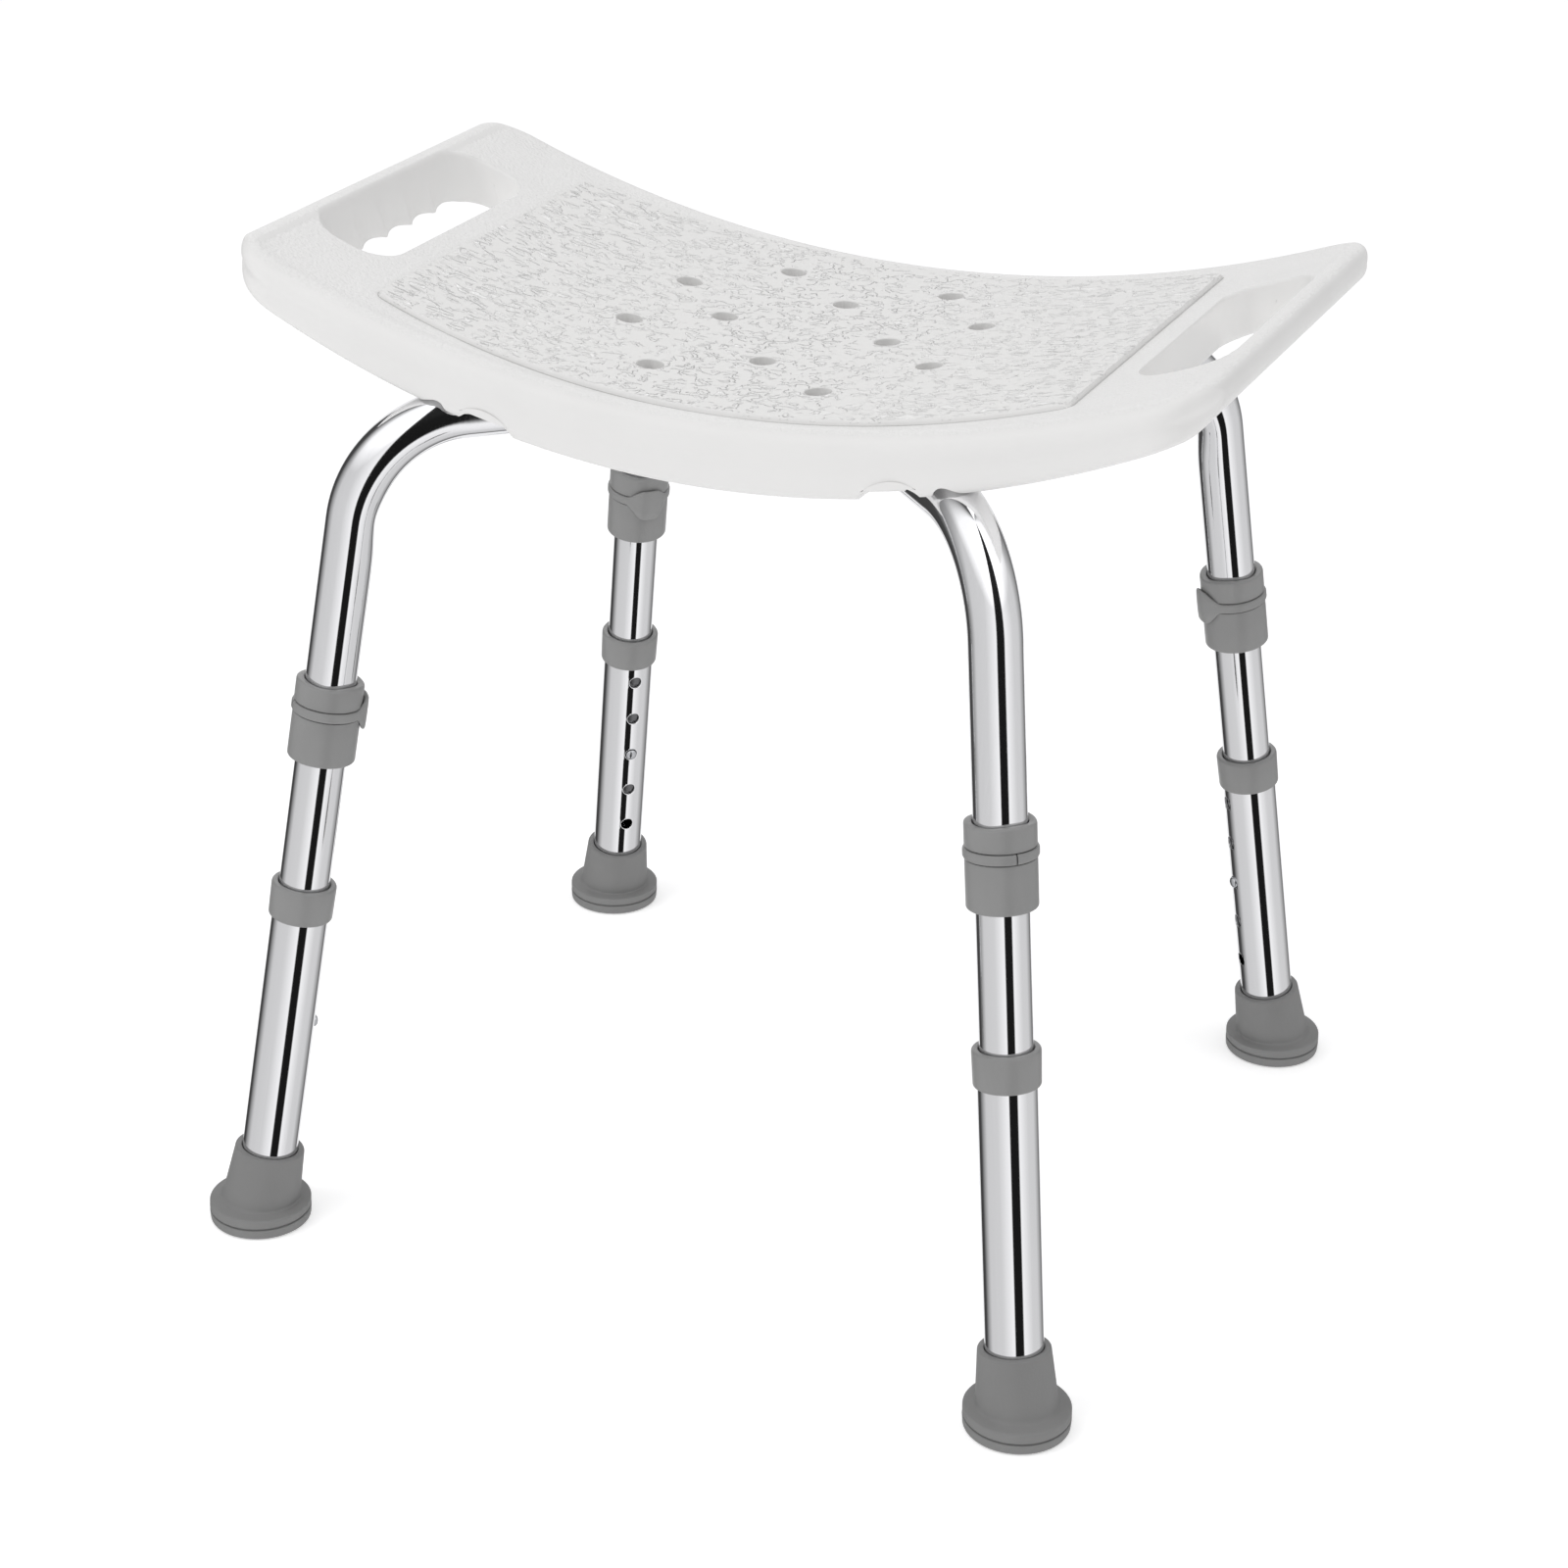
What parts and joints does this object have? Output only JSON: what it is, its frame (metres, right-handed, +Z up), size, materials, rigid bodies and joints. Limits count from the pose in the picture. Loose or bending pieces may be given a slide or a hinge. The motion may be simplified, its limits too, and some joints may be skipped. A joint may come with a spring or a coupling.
{
  "type": "shower stool",
  "caption": "Backless bath stool: curved plastic seat with drain holes and hand slots on crossed bent tubes, with sprung-button height adjustment on each leg.",
  "frame": {"origin": "on the floor under the middle of the seat", "axes": "+X along the seat's length, +Y across it to the back, +Z up"},
  "size_m": [0.5, 0.4588, 0.5022],
  "materials": {
    "white_polyethylene": "blow-moulded, fine leather grain, satin",
    "bright_tube": "bright polished tube",
    "grey_plastic": "moulded, satin",
    "grey_rubber": "moulded, matte",
    "zinc_plated_steel": "bright zinc plate",
    "brass": "turned"
  },
  "bodies": {
    "root": {"seat": "white_polyethylene", "frame_tube_a": "bright_tube", "frame_tube_b": "bright_tube", "centre_bolt": "zinc_plated_steel", "centre_washer": "zinc_plated_steel", "centre_insert": "brass", "seat_screw_fl": "zinc_plated_steel", "coupling_collar_fl": "grey_plastic", "leg_sleeve_fl": "bright_tube", "leg_inner_tube_fl": "bright_tube", "button_spring_fl": "zinc_plated_steel", "seat_screw_fr": "zinc_plated_steel", "coupling_collar_fr": "grey_plastic", "leg_sleeve_fr": "bright_tube", "leg_inner_tube_fr": "bright_tube", "button_spring_fr": "zinc_plated_steel", "seat_screw_bl": "zinc_plated_steel", "coupling_collar_bl": "grey_plastic", "leg_sleeve_bl": "bright_tube", "leg_inner_tube_bl": "bright_tube", "button_spring_bl": "zinc_plated_steel", "seat_screw_br": "zinc_plated_steel", "coupling_collar_br": "grey_plastic", "leg_sleeve_br": "bright_tube", "leg_inner_tube_br": "bright_tube", "button_spring_br": "zinc_plated_steel"},
    "lower_leg_fl": {"leg_outer_tube_fl": "bright_tube", "ferrule_fl": "grey_plastic", "foot_fl": "grey_rubber", "foot_washer_fl": "zinc_plated_steel"},
    "button_fl": {"snap_button_fl": "zinc_plated_steel"},
    "clip_fl": {"lock_clip_fl": "grey_plastic"},
    "lower_leg_fr": {"leg_outer_tube_fr": "bright_tube", "ferrule_fr": "grey_plastic", "foot_fr": "grey_rubber", "foot_washer_fr": "zinc_plated_steel"},
    "button_fr": {"snap_button_fr": "zinc_plated_steel"},
    "clip_fr": {"lock_clip_fr": "grey_plastic"},
    "lower_leg_bl": {"leg_outer_tube_bl": "bright_tube", "ferrule_bl": "grey_plastic", "foot_bl": "grey_rubber", "foot_washer_bl": "zinc_plated_steel"},
    "button_bl": {"snap_button_bl": "zinc_plated_steel"},
    "clip_bl": {"lock_clip_bl": "grey_plastic"},
    "lower_leg_br": {"leg_outer_tube_br": "bright_tube", "ferrule_br": "grey_plastic", "foot_br": "grey_rubber", "foot_washer_br": "zinc_plated_steel"},
    "button_br": {"snap_button_br": "zinc_plated_steel"},
    "clip_br": {"lock_clip_br": "grey_plastic"}
  },
  "joints": [
    {"name": "height_fl", "type": "slide", "parent": "root", "child": "lower_leg_fl", "axis": [-0.1167, -0.1118, -0.9869], "range_m": [-0.0508, 0.0508], "deforming": ["snap_button_fl"]},
    {"name": "press_fl", "type": "slide", "parent": "root", "child": "button_fl", "axis": [-0.7128, -0.6825, 0.1616], "range_m": [0, 0.0044], "stiffness_N_per_m": 800, "springref_m": -0.003, "deforming": ["button_spring_fl"]},
    {"name": "unlock_fl", "type": "slide", "parent": "root", "child": "clip_fl", "axis": [0.7128, 0.6825, -0.1616], "range_m": [0, 0.0042], "stiffness_N_per_m": 600, "springref_m": -0.002, "deforming": ["lock_clip_fl"]},
    {"name": "height_fr", "type": "slide", "parent": "root", "child": "lower_leg_fr", "axis": [0.1167, -0.1118, -0.9869], "range_m": [-0.0508, 0.0508], "deforming": ["snap_button_fr"]},
    {"name": "press_fr", "type": "slide", "parent": "root", "child": "button_fr", "axis": [0.7128, -0.6825, 0.1616], "range_m": [0, 0.0044], "stiffness_N_per_m": 800, "springref_m": -0.003, "deforming": ["button_spring_fr"]},
    {"name": "unlock_fr", "type": "slide", "parent": "root", "child": "clip_fr", "axis": [-0.7128, 0.6825, -0.1616], "range_m": [0, 0.0042], "stiffness_N_per_m": 600, "springref_m": -0.002, "deforming": ["lock_clip_fr"]},
    {"name": "height_bl", "type": "slide", "parent": "root", "child": "lower_leg_bl", "axis": [-0.1167, 0.1118, -0.9869], "range_m": [-0.0508, 0.0508], "deforming": ["snap_button_bl"]},
    {"name": "press_bl", "type": "slide", "parent": "root", "child": "button_bl", "axis": [-0.7128, 0.6825, 0.1616], "range_m": [0, 0.0044], "stiffness_N_per_m": 800, "springref_m": -0.003, "deforming": ["button_spring_bl"]},
    {"name": "unlock_bl", "type": "slide", "parent": "root", "child": "clip_bl", "axis": [0.7128, -0.6825, -0.1616], "range_m": [0, 0.0042], "stiffness_N_per_m": 600, "springref_m": -0.002, "deforming": ["lock_clip_bl"]},
    {"name": "height_br", "type": "slide", "parent": "root", "child": "lower_leg_br", "axis": [0.1167, 0.1118, -0.9869], "range_m": [-0.0508, 0.0508], "deforming": ["snap_button_br"]},
    {"name": "press_br", "type": "slide", "parent": "root", "child": "button_br", "axis": [0.7128, 0.6825, 0.1616], "range_m": [0, 0.0044], "stiffness_N_per_m": 800, "springref_m": -0.003, "deforming": ["button_spring_br"]},
    {"name": "unlock_br", "type": "slide", "parent": "root", "child": "clip_br", "axis": [-0.7128, -0.6825, -0.1616], "range_m": [0, 0.0042], "stiffness_N_per_m": 600, "springref_m": -0.002, "deforming": ["lock_clip_br"]}
  ]
}
